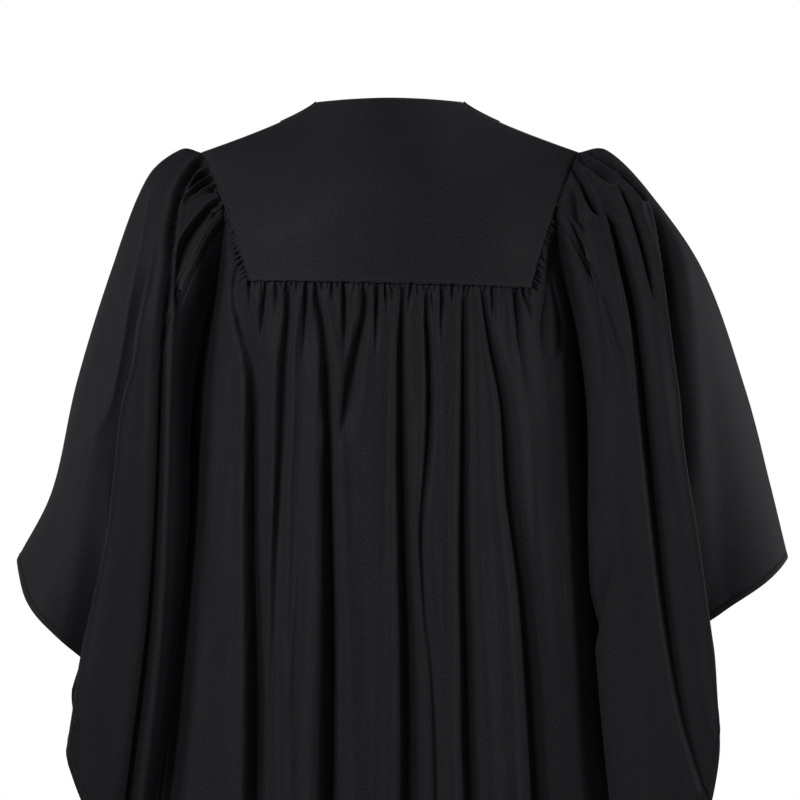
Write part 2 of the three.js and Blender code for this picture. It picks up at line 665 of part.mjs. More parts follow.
// The sleeves.
const SLEEVES = [
  { label: "left", side: -1, sections: LEFT_SLEEVE, bay: LEFT_BAY, folds: LEFT_SLEEVE_FOLDS },
  { label: "right", side: 1, sections: RIGHT_SLEEVE, bay: RIGHT_BAY, folds: RIGHT_SLEEVE_FOLDS },
];
const ring = [];
let ringStart = 0;
for (const stretch of RING) {
  for (let column = 0; column < stretch.columns; column += 1) {
    const share = column / stretch.columns;
    ring.push({
      around: mix(ringStart, stretch.to, share),
      phase: share * stretch.gathers,
      gathered: stretch.gathers > 0,
    });
  }
  ringStart = stretch.to;
}
for (const sleeve of SLEEVES) {
  const rows = SLEEVE_ROWS.map((along) => ring.map((place) => sleevePoint(sleeve, place, along)));
  const seams = SLEEVE_ROWS.flatMap((along) =>
    ring.map((place) => (along === 0 && place.around <= RING_CORNER ? [acrossYokeSide(sleeve.side)] : [])),
  );
  const thick = SLEEVE_ROWS.flatMap((along) => ring.map(() => (along === 1 ? -WALL - HEM_EXTRA : -WALL)));
  const tube = sheet(rows, true, sleeve.side > 0);
  const directions = outwards(tube.points, tube.triangles, seams);
  piece(`sleeve_${sleeve.label}`, wall(tube.points, tube.triangles, directions, thick, 0));
}

export default gown;
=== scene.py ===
import bpy
import numpy as np
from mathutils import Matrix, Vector


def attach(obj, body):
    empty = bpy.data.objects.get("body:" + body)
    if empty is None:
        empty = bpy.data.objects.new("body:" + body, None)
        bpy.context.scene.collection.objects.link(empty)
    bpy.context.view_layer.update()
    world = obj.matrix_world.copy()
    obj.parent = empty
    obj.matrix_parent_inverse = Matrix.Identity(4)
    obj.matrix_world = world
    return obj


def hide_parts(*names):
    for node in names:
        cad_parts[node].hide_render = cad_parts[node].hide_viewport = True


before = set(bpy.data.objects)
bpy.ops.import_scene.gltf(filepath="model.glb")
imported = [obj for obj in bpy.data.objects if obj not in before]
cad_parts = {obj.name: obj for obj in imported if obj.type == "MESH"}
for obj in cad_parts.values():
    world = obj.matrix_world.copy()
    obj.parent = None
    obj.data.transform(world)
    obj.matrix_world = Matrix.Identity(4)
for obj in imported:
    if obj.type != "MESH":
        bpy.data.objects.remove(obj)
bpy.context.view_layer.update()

# The back yoke: one smooth piece of fine black polyester cloth over the shoulder blades, straight at
# the bottom and slanted at the sides. Its turned edges lie over the gathered cloth sewn to them.
# All sizes are millimetres, as in the frame: X to the right, Y to the front, and drops below the neck.

MM = 0.001
TINY = 1e-9
CLOTH = 0.7
SHOULDER_HALF = 214
SHOULDER_DROP = 57
SHOULDER_HOLLOW = 0.8
NECK_HALF = 83
NECK_RISE = 1
SHOULDER_RIDGE = {"out": [-42, 0, 42, 83, 140, 214], "drop": [-28, -42, -28, 0, 29, 57]}
YOKE_DROP = 210
YOKE_TILT = 0.025
YOKE_CORNER_HALF = 157
YOKE_SIDE_BOW = 4
YOKE_RISE = 150
YOKE_ROUND = 0.85
YOKE_COLUMNS = 220
YOKE_ROWS = 110

# Half widths and depths of the level sections of the gown's hollow body, without its folds.
BODY = {
    "drop": [40, 135, 210, 355, 630, 800, 1190],
    "half": [214, 204, 205, 225, 258, 280, 340],
    "back": [112, 126, 132, 140, 155, 170, 212],
    "front": [70, 106, 118, 128, 140, 152, 190],
}


def mix(start, end, share):
    return start + (end - start) * share


def smooth(value):
    share = np.clip(value, 0, 1)
    return share * share * (3 - 2 * share)


def curve(places, values, at):
    """The value at a place on a smooth curve through a few known values."""
    places = np.asarray(places, float)
    values = np.asarray(values, float)
    last = len(places) - 1
    before = np.maximum(np.arange(last + 1) - 1, 0)
    after = np.minimum(np.arange(last + 1) + 1, last)
    slopes = (values[after] - values[before]) / (places[after] - places[before])
    low = np.clip(np.searchsorted(places, at, side="right") - 1, 0, last - 1)
    span = places[low + 1] - places[low]
    share = np.clip((at - places[low]) / span, 0, 1)
    leave = share * (1 - share) ** 2 * span * slopes[low]
    arrive = share**2 * (share - 1) * span * slopes[low + 1]
    return mix(values[low], values[low + 1], smooth(share)) + leave + arrive


def body(column, drop):
    return curve(BODY["drop"], BODY[column], drop)


def shoulder_drop(out):
    share = np.clip((np.abs(out) - NECK_HALF) / (SHOULDER_HALF - NECK_HALF), 0, 1)
    return SHOULDER_DROP * share**SHOULDER_HOLLOW


def ridge_drop(out):
    """The shoulder line, carried on smoothly to a peak inside the neck opening."""
    return curve(SHOULDER_RIDGE["out"], SHOULDER_RIDGE["drop"], np.abs(out))


def yoke_surface(across, down):
    """A point of the yoke, from its left side (-1) to its right (1) and from neck (0) to seam (1)."""
    top = across * SHOULDER_HALF
    neck = np.maximum(0, 1 - (top / NECK_HALF) ** 2)
    top_drop = shoulder_drop(top) - NECK_RISE * neck
    drop = mix(top_drop, YOKE_DROP + YOKE_TILT * across * YOKE_CORNER_HALF, down)
    half = mix(SHOULDER_HALF, YOKE_CORNER_HALF, down) - YOKE_SIDE_BOW * 4 * down * (1 - down)
    out = across * half
    level = np.sqrt(np.maximum(0, 1 - (out / body("half", drop)) ** 2))
    below = np.clip((drop - ridge_drop(out)) / YOKE_RISE, 0, 1)
    rise = np.sin(below * np.pi / 2) ** YOKE_ROUND
    return np.stack([out, -body("back", drop) * level * rise, -drop], axis=-1)


def grid_normals(points):
    """Outward directions of a grid of points that runs down its rows and across its columns."""
    down = np.gradient(points, axis=0)
    across = np.gradient(points, axis=1)
    normal = np.cross(down, across)
    return normal / np.maximum(np.linalg.norm(normal, axis=-1, keepdims=True), TINY)


RIPPLE_COUNT = 14


def soft_ripples(across, along, seed, widths, lengths):
    """An uneven sum of long soft ripples, between about -1 and 1, over a cloth's own millimetres."""
    draw = np.random.default_rng(seed)
    total = np.zeros(np.broadcast(across, along).shape)
    for _ in range(RIPPLE_COUNT):
        width = draw.uniform(*widths)
        length = draw.uniform(*lengths)
        turn = draw.uniform(0, 2 * np.pi)
        slant = draw.choice([-1, 1])
        total += np.sin(2 * np.pi * (across / width + slant * along / length) + turn)
    return total / np.sqrt(RIPPLE_COUNT)


CUT_MAP = "cut"


def cloth_piece(name, points, material, closed=False, turned=False):
    """A thin shell of cloth through a grid of points, with its flat cut in metres as its UV map."""
    grid = np.asarray(points) * MM
    rows, columns = grid.shape[:2]
    index = np.arange(rows * columns).reshape(rows, columns)
    if closed:
        index = np.hstack([index, index[:, :1]])
    corners = np.stack([index[:-1, :-1], index[1:, :-1], index[1:, 1:], index[:-1, 1:]], axis=-1)
    flat = grid.reshape(-1, 3)[index]
    steps_across = np.linalg.norm(np.diff(flat, axis=1), axis=-1)
    steps_down = np.linalg.norm(np.diff(flat, axis=0), axis=-1)
    across = np.pad(np.cumsum(steps_across, axis=1), ((0, 0), (1, 0)))
    across -= across[:, -1:] / 2
    down = np.pad(np.cumsum(steps_down, axis=0), ((1, 0), (0, 0)))
    cut = np.stack([across, down], axis=-1)
    cut = np.stack([cut[:-1, :-1], cut[1:, :-1], cut[1:, 1:], cut[:-1, 1:]], axis=2)
    corners = corners.reshape(-1, 4)
    cut = cut.reshape(-1, 4, 2)
    if turned:
        corners = corners[:, ::-1]
        cut = cut[:, ::-1]
    mesh = bpy.data.meshes.new(name)
    mesh.from_pydata(grid.reshape(-1, 3).tolist(), [], corners.tolist())
    mesh.uv_layers.new(name=CUT_MAP).data.foreach_set("uv", cut.reshape(-1))
    mesh.shade_smooth()
    mesh.materials.append(material)
    piece = bpy.data.objects.new(name, mesh)
    bpy.context.scene.collection.objects.link(piece)
    shell = piece.modifiers.new("thickness", "SOLIDIFY")
    shell.thickness = CLOTH * MM
    shell.offset = -1
    return piece


class Shade:
    """A socket of a material. Arithmetic on it adds Math nodes, and node adds any other."""

    def __init__(self, tree, socket=None):
        self.tree = tree
        self.socket = socket

    def node(self, kind, settings=None, sockets=None, output=0):
        made = self.tree.nodes.new(kind)
        for key, value in (settings or {}).items():
            setattr(made, key, value)
        for key, value in (sockets or {}).items():
            if isinstance(value, Shade):
                self.tree.links.new(value.socket, made.inputs[key])
            else:
                made.inputs[key].default_value = value
        return Shade(self.tree, made.outputs[output] if made.outputs else None)

    def math(self, operation, first, second=0.0):
        return self.node("ShaderNodeMath", {"operation": operation}, {0: first, 1: second})

    def __add__(self, other):
        return self.math("ADD", self, other)

    __radd__ = __add__

    def __sub__(self, other):
        return self.math("SUBTRACT", self, other)

    def __rsub__(self, other):
        return self.math("SUBTRACT", other, self)

    def __mul__(self, other):
        return self.math("MULTIPLY", self, other)

    __rmul__ = __mul__

    def sine(self):
        return self.math("SINE", self)


CLOTH_BLACK = (0.0108, 0.0106, 0.0125, 1)
CLOTH_WORN = (0.0232, 0.0228, 0.0260, 1)
THREAD_PITCH = 0.0005
FLECK_SIZE = 0.0020
FLECK_DETAIL = 1.0
FLECK_CONTRAST = 5.0
SHADE_SIZE = 0.05
SHADE_DETAIL = 3.0
SHADE_CONTRAST = 0.6
NOISE_MIDDLE = 0.5
WEAVE_HEIGHT = 0.35
BUMP_STRENGTH = 0.35
BUMP_DISTANCE = 0.0002
CLOTH_ROUGHNESS = 0.62
CLOTH_ROUGHNESS_SPREAD = 0.25
CLOTH_SPECULAR = 0.12
SHEEN_WEIGHT = 0.08
SHEEN_ROUGHNESS = 0.5
SHEEN_TINT = (0.86, 0.86, 1.0, 1)
# The places of a Mix node's sockets for colours: its factor, its two colours and its result.
MIX_FACTOR = 0
MIX_FIRST = 6
MIX_SECOND = 7
MIX_RESULT = 2


def gown_cloth(name):
    """Fine black polyester weave: a dull surface with a faint sheen, and threads that catch light."""
    material = bpy.data.materials.new(name)
    material.use_nodes = True
    tree = material.node_tree
    tree.nodes.clear()
    start = Shade(tree)
    cut = start.node("ShaderNodeUVMap", {"uv_map": CUT_MAP})
    across = start.node("ShaderNodeSeparateXYZ", {}, {"Vector": cut})
    along = Shade(tree, across.socket.node.outputs[1])
    threads = 2 * np.pi / THREAD_PITCH
    weave = (across * threads).sine() * (along * threads).sine()
    fleck = start.node(
        "ShaderNodeTexNoise",
        {},
        {"Vector": cut, "Scale": 1 / FLECK_SIZE, "Detail": FLECK_DETAIL},
    )
    shade = start.node(
        "ShaderNodeTexNoise",
        {},
        {"Vector": cut, "Scale": 1 / SHADE_SIZE, "Detail": SHADE_DETAIL},
    )
    flecked = (fleck - NOISE_MIDDLE) * FLECK_CONTRAST
    tone = flecked + (shade - NOISE_MIDDLE) * SHADE_CONTRAST + NOISE_MIDDLE
    colour = start.node(
        "ShaderNodeMix",
        {"data_type": "RGBA"},
        {MIX_FACTOR: tone, MIX_FIRST: CLOTH_BLACK, MIX_SECOND: CLOTH_WORN},
        output=MIX_RESULT,
    )
    height = weave * WEAVE_HEIGHT + fleck
    bump = start.node(
        "ShaderNodeBump",
        {},
        {"Strength": BUMP_STRENGTH, "Distance": BUMP_DISTANCE, "Height": height},
    )
    surface = start.node(
        "ShaderNodeBsdfPrincipled",
        {},
        {
            "Base Color": colour,
            "Roughness": CLOTH_ROUGHNESS + (fleck - NOISE_MIDDLE) * CLOTH_ROUGHNESS_SPREAD,
            "Normal": bump,
            "Specular IOR Level": CLOTH_SPECULAR,
            "Sheen Weight": SHEEN_WEIGHT,
            "Sheen Roughness": SHEEN_ROUGHNESS,
            "Sheen Tint": SHEEN_TINT,
        },
    )
    start.node("ShaderNodeOutputMaterial", {}, {"Surface": surface})
    return material


SLOT = "gown_cloth"
black_cloth = gown_cloth(SLOT)
YOKE_CREASES = {"seed": 5, "widths": (22, 60), "lengths": (400, 1500)}
YOKE_CREASE_REACH = 0.35
YOKE_CREASE_DEPTH = 0.33
YOKE_SLACK = {"seed": 11, "widths": (90, 220), "lengths": (120, 260)}
YOKE_SLACK_DEPTH = 0.35
YOKE_EDGE_LIFT = 1.2
YOKE_BOTTOM_EDGE = 0.1
YOKE_SIDE_EDGE = 0.07
YOKE_TOP_FADE = 0.12
YOKE_WAVES = {"seed": 8, "widths": (9, 26), "lengths": (1e5, 1e6)}
YOKE_EDGE_WAVE = 0.6
YOKE_WAVE_REACH = 0.05
STITCH_PITCH = 3.4
STITCH_LENGTH = 2.5
STITCH_RADIUS = 0.3
STITCH_SHAPE = {"share": [0, 0.2, 0.8, 1], "rise": [-0.3, 0.25, 0.25, -0.3]}
STITCH_TURNS = np.linspace(0, 2 * np.pi, 6, endpoint=False)
THREAD_BLACK = (0.012, 0.012, 0.014, 1)
THREAD_WORN = (0.034, 0.033, 0.037, 1)
THREAD_TWIST = 0.0008
THREAD_DETAIL = 2.0
THREAD_ROUGHNESS = 0.55
THREAD_ROUGHNESS_SPREAD = 0.2


def yoke_grid():
    across = np.linspace(-1, 1, YOKE_COLUMNS + 1)[None, :]
    down = np.linspace(0, 1, YOKE_ROWS + 1)[:, None]
    points = yoke_surface(across + 0 * down, down + 0 * across)
    near_seam = np.exp(-(((1 - down) / YOKE_CREASE_REACH) ** 2))
    creases = soft_ripples(points[..., 0], -points[..., 2], **YOKE_CREASES)
    slack = soft_ripples(points[..., 0], -points[..., 2], **YOKE_SLACK)
    at_bottom = smooth((down - 1 + YOKE_BOTTOM_EDGE) / YOKE_BOTTOM_EDGE)
    at_sides = smooth((np.abs(across) - 1 + YOKE_SIDE_EDGE) / YOKE_SIDE_EDGE)
    edge = YOKE_EDGE_LIFT * np.maximum(at_bottom, at_sides)
    lift = creases * near_seam * YOKE_CREASE_DEPTH + slack * YOKE_SLACK_DEPTH + edge
    lift *= smooth(down / YOKE_TOP_FADE)
    points = points + grid_normals(points) * lift[..., None]
    wave = soft_ripples(points[..., 0], 0 * down, **YOKE_WAVES) * YOKE_EDGE_WAVE
    points[..., 2] += wave * smooth((down - 1 + YOKE_WAVE_REACH) / YOKE_WAVE_REACH)
    return points


def sewing_thread(name):
    """Black twisted thread, a little paler than the cloth."""
    material = bpy.data.materials.new(name)
    material.use_nodes = True
    tree = material.node_tree
    tree.nodes.clear()
    start = Shade(tree)
    place = start.node("ShaderNodeTexCoord", output="Object")
    twist = start.node(
        "ShaderNodeTexNoise",
        {},
        {"Vector": place, "Scale": 1 / THREAD_TWIST, "Detail": THREAD_DETAIL},
    )
    mixed = {MIX_FACTOR: twist, MIX_FIRST: THREAD_BLACK, MIX_SECOND: THREAD_WORN}
    colour = start.node("ShaderNodeMix", {"data_type": "RGBA"}, mixed, output=MIX_RESULT)
    roughness = THREAD_ROUGHNESS + (twist - NOISE_MIDDLE) * THREAD_ROUGHNESS_SPREAD
    surface = start.node("ShaderNodeBsdfPrincipled", {}, {"Base Color": colour, "Roughness": roughness})
    start.node("ShaderNodeOutputMaterial", {}, {"Surface": surface})
    return material


def stitch_rows(name, rows):
    """Rows of small stitches along lines on the cloth, each dipping into it at both ends."""
    corners, faces = [], []
    count = len(STITCH_TURNS)
    for line, outward in rows:
        along = np.concatenate([[0], np.cumsum(np.linalg.norm(np.diff(line, axis=0), axis=-1))])
        for begin in np.arange(STITCH_PITCH, along[-1] - STITCH_PITCH, STITCH_PITCH):
            places = begin + STITCH_LENGTH * np.array(STITCH_SHAPE["share"])
            centre = np.stack([np.interp(places, along, axis) for axis in line.T], axis=-1)
            up = np.array([np.interp(begin, along, axis) for axis in outward.T])
            beside = np.cross(centre[-1] - centre[0], up)
            beside /= np.linalg.norm(beside)
            for middle, rise in zip(centre, STITCH_SHAPE["rise"]):
                for turn in STITCH_TURNS:
                    height = rise + STITCH_RADIUS * np.cos(turn)
                    corners.append((middle + up * height + beside * STITCH_RADIUS * np.sin(turn)) * MM)
            first = len(corners) - count * len(places)
            for ring in range(len(places) - 1):
                low = first + ring * count
                for turn in range(count):
                    after = (turn + 1) % count
                    faces.append((low + turn, low + after, low + count + after, low + count + turn))
    mesh = bpy.data.meshes.new(name)
    mesh.from_pydata([tuple(corner) for corner in corners], [], faces)
    mesh.shade_smooth()
    mesh.materials.append(black_thread)
    piece = bpy.data.objects.new(name, mesh)
    bpy.context.scene.collection.objects.link(piece)
    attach(piece, "root")
    return piece


black_thread = sewing_thread("gown_thread")
YOKE_STITCH_ROW = YOKE_ROWS - 2
YOKE_STITCH_COLUMN = 3
YOKE_STITCH_TOP = 4
yoke_points = yoke_grid()
yoke_normals = grid_normals(yoke_points)
sewn_rows = []
for grid in (yoke_points, yoke_normals):
    left_side = grid[YOKE_STITCH_TOP:YOKE_STITCH_ROW, YOKE_STITCH_COLUMN]
    bottom = grid[YOKE_STITCH_ROW, YOKE_STITCH_COLUMN:-YOKE_STITCH_COLUMN]
    right_side = grid[YOKE_STITCH_TOP:YOKE_STITCH_ROW, -YOKE_STITCH_COLUMN - 1]
    sewn_rows.append(np.concatenate([left_side, bottom, right_side[::-1]]))
yoke_stitches = stitch_rows("gown_yoke_stitches", [tuple(sewn_rows)])
back_yoke = cloth_piece("gown_back_yoke", yoke_points, black_cloth)
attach(back_yoke, "root")
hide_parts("back_yoke")


# The back panel: one wide piece of the same cloth, gathered by hand-sized tucks to the bottom and the
# lower sides of the yoke. Its fullness falls from there in long soft folds to a turned hem.

GOWN_DROP = 1190
ARMHOLE_CORNER = 0.4
ARMHOLE_DEPTH = 237
SIDE_SHARE = 0.18
BACK_COLUMNS = 600
SEAM_ROWS = 30
SEAM_ROWS_SHARE = 0.042
FALL_ROWS = 50
FALL_ROW_EASE = 1.6
PRESS_AHEAD = 0.9
SEAM_LAP = 3
SEAM_LAP_FADE = 5
SEAM_INSET = 1.4
SIDE_FADE = 0.12
GATHER_BEGIN = 0.5
GATHER_PUFF = 3.0
GATHER_PUFF_DROP = 9
TICK_PITCH = (4.2, 7.2)
TICK_LENGTH = (6, 14)
TICK_DEPTH = (2.4, 4.8)
TICK_WIDTH = (1.3, 1.9)
TICK_DROOP = 0.4
TICK_TAPER = 0.8
TICK_SEED = 3
BACK_RIPPLE_ROUND = 250
BACK_RIPPLES = [
    {"deep": 0.8, "fade": 60, "shape": {"seed": 21, "widths": (26, 70), "lengths": (350, 1400)}},
    {"deep": 0.22, "fade": 40, "shape": {"seed": 23, "widths": (7, 18), "lengths": (300, 900)}},
]

# The creases of the back: each valley's way down the cloth as places across from the centre back and
# drops, its depth along that way, and the widths of its left and right walls at its start and end.
BACK_CREASES = [
    {
        "way": [
            (-164, 182), (-175, 204), (-174, 226), (-166, 258), (-155, 300), (-151, 350), (-150, 504),
            (-149, 780), (-166, 1190),
        ],
        "deep": [4, 9, 11, 13, 15, 18, 24, 31, 34],
        "walls": [(3, 6), (8, 28)],
    },
    {
        "way": [
            (-111, 213), (-112, 250), (-115, 300), (-117, 361), (-124, 504), (-128, 620), (-128, 780),
            (-122, 1190),
        ],
        "deep": [6, 9, 11, 14, 18, 22, 28, 28],
        "walls": [(3, 3), (26, 9)],
    },
    {
        "way": [
            (-80, 213), (-79, 229), (-74, 251), (-70, 285), (-67, 339), (-64, 504), (-62, 620),
            (-62, 780), (-62, 1190),
        ],
        "deep": [6, 8, 10, 13, 18, 28, 33, 35, 34],
        "walls": [(3, 3), (13, 11)],
    },
    {
        "way": [
            (-27, 215), (-26, 229), (-28, 251), (-34, 278), (-39, 305), (-46, 339), (-54, 372),
            (-60, 410),
        ],
        "deep": [6, 9, 10, 11, 11, 9, 6, 1],
        "walls": [(4, 4), (8, 8)],
    },
    {
        "way": [
            (15, 216), (14, 251), (13, 295), (13, 361), (14, 504), (17, 620), (18, 780), (14, 1190),
        ],
        "deep": [6, 10, 13, 16, 24, 30, 33, 32],
        "walls": [(3, 3), (9, 26)],
    },
    {
        "way": [
            (41, 217), (41, 251), (43, 280), (44, 361), (36, 480), (40, 580), (46, 640), (52, 780),
            (56, 1190),
        ],
        "deep": [6, 9, 11, 12, 9, 8, 9, 10, 18],
        "walls": [(3, 3), (9, 9)],
    },
    {
        "way": [(81, 218), (81, 251), (81, 361), (80, 504), (83, 620), (88, 780), (112, 1190)],
        "deep": [6, 10, 15, 19, 23, 27, 28],
        "walls": [(3, 6), (9, 12)],
    },
    {
        "way": [
            (102, 218), (106, 251), (112, 284), (124, 350), (130, 443), (145, 564), (159, 780),
            (176, 1190),
        ],
        "deep": [6, 9, 11, 14, 18, 23, 30, 32],
        "walls": [(2, 3), (9, 24)],
    },
    {"way": [(-176, 160), (-170, 175), (-164, 190)], "deep": [3, 6, 3], "walls": [(3, 4), (3, 4)]},
    {
        "way": [(180, 158), (177, 190), (171, 240), (166, 306)],
        "deep": [6, 9, 8, 0],
        "walls": [(4, 4), (6, 6)],
    },
    {
        "way": [(178, 190), (184, 218), (190, 251), (188, 284), (175, 333)],
        "deep": [4, 7, 8, 7, 0],
        "walls": [(5, 2), (6, 3)],
    },
    {
        "way": [(155, 339), (160, 480), (166, 595), (180, 780), (226, 1190)],
        "deep": [0, 4, 5, 6, 20],
        "walls": [(14, 3), (20, 10)],
    },
    {
        "way": [(-209, 394), (-206, 504), (-201, 614), (-204, 725), (-236, 1190)],
        "deep": [0, 4, 5, 6, 20],
        "walls": [(10, 14), (18, 20)],
    },
    {
        "way": [(-222, 340), (-250, 620), (-258, 725), (-306, 1190)],
        "deep": [2, 10, 14, 26],
        "walls": [(20, 20), (24, 24)],
    },
    {
        "way": [(184, 180), (190, 250), (195, 340), (200, 480), (206, 620), (214, 780), (262, 1190)],
        "deep": [0, -9, -13, -13, -12, -10, -6],
        "walls": [(14, 8), (18, 12)],
    },
    {
        "way": [(205, 340), (238, 620), (248, 725), (296, 1190)],
        "deep": [2, 10, 14, 26],
        "walls": [(20, 20), (24, 24)],
    },
]
# The short gathers between them, below the yoke: where each starts and ends across, and its length, depth
# and width.
SHORT_GATHERS = {
    "start": [-156, -137, -124, -91, -72, -64, -50, -13, -5, 3, 23, 46, 59, 69, 87, 113, 138, 146],
    "end": [-157, -147, -126, -96, -73, -62, -48, -17, -3, 3, 19, 49, 55, 68, 86, 113, 150, 160],
    "length": [75, 100, 45, 95, 26, 26, 90, 90, 40, 24, 50, 45, 75, 24, 24, 60, 135, 45],
    "depth": [6, 8, 5, 8, 4, 4, 9, 9, 5, 4, 5, 5, 7, 4, 4, 6, 9, 5],
    "width": [2.5, 2.5, 2, 2.5, 2, 2, 2.2, 2.5, 2, 2, 2, 2, 2.5, 2, 2, 2, 3, 2],
}
GATHER_PLACES = [0, 0.3, 0.65, 1]
GATHER_TAPER = [1, 0.9, 0.45, 0]
GATHER_WIDEN = 1.6
for start, end, length, depth, width in zip(*SHORT_GATHERS.values()):
    top = YOKE_DROP + YOKE_TILT * start
    way = [(mix(start, end, part), top + length * part) for part in GATHER_PLACES]
    deep = [depth * part for part in GATHER_TAPER]
    low_width = GATHER_WIDEN * width
    walls = [(width, width), (low_width, low_width)]
    BACK_CREASES.append({"way": way, "deep": deep, "walls": walls})
CREASE_STEPS = 90
CREASE_POWER = 1.4
CREASE_SPREAD = 4
CREASE_MERGE = 4
RIM_SHARE = 0.16
RIM_PLACE = 2.4
RIM_WIDEST = 10
RIM_HIGHEST = 3


def crease_cloth(creases, across, drop):
    """How deep the creases press each point of a cloth, and how far their lean draws it across."""
    pressed = np.zeros(across.shape)
    raised = np.zeros(across.shape)
    leaning = np.zeros(across.shape)
    hanging = np.zeros(across.shape)
    for crease in creases:
        outs, drops = np.array(crease["way"], float).T
        knots = np.arange(len(outs))
        step = np.linspace(0, knots[-1], CREASE_STEPS)
        line = np.stack([curve(knots, outs, step), curve(knots, drops, step)], axis=-1)
        heading = np.gradient(line, axis=0)
        pace = np.linalg.norm(heading, axis=-1, keepdims=True)
        heading /= pace
        reach = CREASE_SPREAD * np.max(crease["walls"])
        near = (across > line[:, 0].min() - reach) & (across < line[:, 0].max() + reach)
        near &= (drop > line[:, 1].min() - reach) & (drop < line[:, 1].max() + reach)
        spot = np.stack([across[near], drop[near]], axis=-1)
        gaps = (spot[:, None, 0] - line[None, :, 0]) ** 2 + (spot[:, None, 1] - line[None, :, 1]) ** 2
        nearest = gaps.argmin(axis=1)
        offset = spot - line[nearest]
        aside = offset[:, 0] * heading[nearest, 1] - offset[:, 1] * heading[nearest, 0]
        ahead = np.sum(offset * heading[nearest], axis=-1)
        place = nearest + ahead / pace[nearest, 0]
        inside = np.clip(place, 0, CREASE_STEPS - 1)
        past = (place - inside) * pace[nearest, 0]
        share = inside / (CREASE_STEPS - 1)
        (left_start, right_start), (left_end, right_end) = crease["walls"]
        widen = share**2
        wall = np.where(aside < 0, mix(left_start, left_end, widen), mix(right_start, right_end, widen))
        dent = np.exp(-((np.hypot(aside, past) / wall) ** CREASE_POWER))
        depth = curve(knots, crease["deep"], share * knots[-1])
        raised[near] += dent * np.maximum(-depth, 0)
        depth = np.maximum(depth, 0)
        pressed[near] += (dent * depth) ** CREASE_MERGE
        rim = np.minimum(wall, RIM_WIDEST)
        roll = np.exp(-(((np.hypot(aside, past) - RIM_PLACE * rim) / rim) ** 2))
        raised[near] += roll * np.minimum(depth * crease.get("rim", RIM_SHARE), RIM_HIGHEST)
        if "lean" in crease:
            leaning[near] += dent * curve(knots, crease["lean"], share * knots[-1])
            hanging[near] += dent * curve(knots, crease["hang"], share * knots[-1])
    return pressed ** (1 / CREASE_MERGE) - raised, leaning, hanging


def seam_ticks(seam, seed):
    """The small uneven puckers that a gathering thread draws in, square to the seam."""
    draw = np.random.default_rng(seed)
    along = np.concatenate([[0], np.cumsum(np.linalg.norm(np.diff(seam, axis=0), axis=-1))])
    heading = np.gradient(seam, axis=0)
    heading /= np.linalg.norm(heading, axis=-1, keepdims=True)
    ticks = []
    place = draw.uniform(*TICK_PITCH)
    while place < along[-1]:
        at = np.stack([np.interp(place, along, line) for line in seam.T])
        way = np.stack([np.interp(place, along, line) for line in heading.T])
        tip = at + draw.uniform(*TICK_LENGTH) * np.array([-way[1], way[0] + TICK_DROOP])
        depth = draw.uniform(*TICK_DEPTH) * (1 + abs(way[1]))
        width = draw.uniform(*TICK_WIDTH)
        walls = [(width, width), (width, width)]
        deep = [depth, depth * TICK_TAPER, 0]
        ticks.append({"way": [at, (at + tip) / 2, tip], "deep": deep, "walls": walls})
        place += draw.uniform(*TICK_PITCH)
    return ticks


def back_grid():
    column = np.linspace(0, 1, BACK_COLUMNS + 1)
    ends = [0, SIDE_SHARE, 1 - SIDE_SHARE, 1]
    seam = yoke_surface(
        np.interp(column, ends, [-1, -1, 1, 1]),
        np.interp(column, ends, [ARMHOLE_CORNER, 1, 1, ARMHOLE_CORNER]),
    )
    seam_drop = -seam[:, 2]
    seam_half = body("half", seam_drop)
    seam_turn = np.arcsin(np.clip(seam[:, 0] / seam_half, -1, 1))
    near_seam = np.linspace(0, SEAM_ROWS_SHARE, SEAM_ROWS, endpoint=False)
    fall = mix(SEAM_ROWS_SHARE, 1, np.linspace(0, 1, FALL_ROWS + 1) ** FALL_ROW_EASE)
    share = np.concatenate([near_seam, fall])[:, None]
    drop = mix(seam_drop[None, :] - SEAM_LAP, GOWN_DROP, share)
    below = np.maximum(drop - seam_drop[None, :], 0)
    settle = 1 - smooth(below / ARMHOLE_DEPTH)
    turn = mix((2 * column - 1) * np.pi / 2, seam_turn, settle)

    half = body("half", drop)
    back = body("back", drop)
    points = np.stack([half * np.sin(turn), -back * np.cos(turn), -drop], axis=-1)
    seam_back = body("back", seam_drop)
    seam_base = np.stack([seam_half * np.sin(seam_turn), -seam_back * np.cos(seam_turn)], axis=-1)
    points[..., :2] += (seam[:, :2] - seam_base)[None] * settle[..., None]

    side_turn = turn * smooth((np.abs(turn) - PRESS_AHEAD) / (np.pi / 2 - PRESS_AHEAD))
    inward = np.stack([-np.sin(side_turn) / half, np.cos(side_turn) / back], axis=-1)
    inward /= np.linalg.norm(inward, axis=-1, keepdims=True)
    ticks = seam_ticks(np.stack([seam[:, 0], seam_drop], axis=-1), TICK_SEED)
    pressed, _, _ = crease_cloth(BACK_CREASES, points[..., 0], drop)
    puckered, _, _ = crease_cloth(ticks, points[..., 0], drop)
    begin = mix(GATHER_BEGIN, 1, smooth(below / GATHER_PUFF_DROP))
    puff = GATHER_PUFF * (below / GATHER_PUFF_DROP) * np.exp(1 - below / GATHER_PUFF_DROP)
    ripples = np.zeros(drop.shape)
    for row in BACK_RIPPLES:
        ripple = soft_ripples(turn * BACK_RIPPLE_ROUND, drop, **row["shape"])
        ripples += ripple * row["deep"] * smooth(below / row["fade"])
    lap = SEAM_INSET * (1 - smooth((drop - seam_drop[None, :] + SEAM_LAP) / SEAM_LAP_FADE))
    sides = smooth((np.pi / 2 - np.abs(turn)) / SIDE_FADE)
    inset = pressed * begin * sides + puckered - puff + ripples * sides + lap
    points[..., :2] += inward * inset[..., None]
    return points


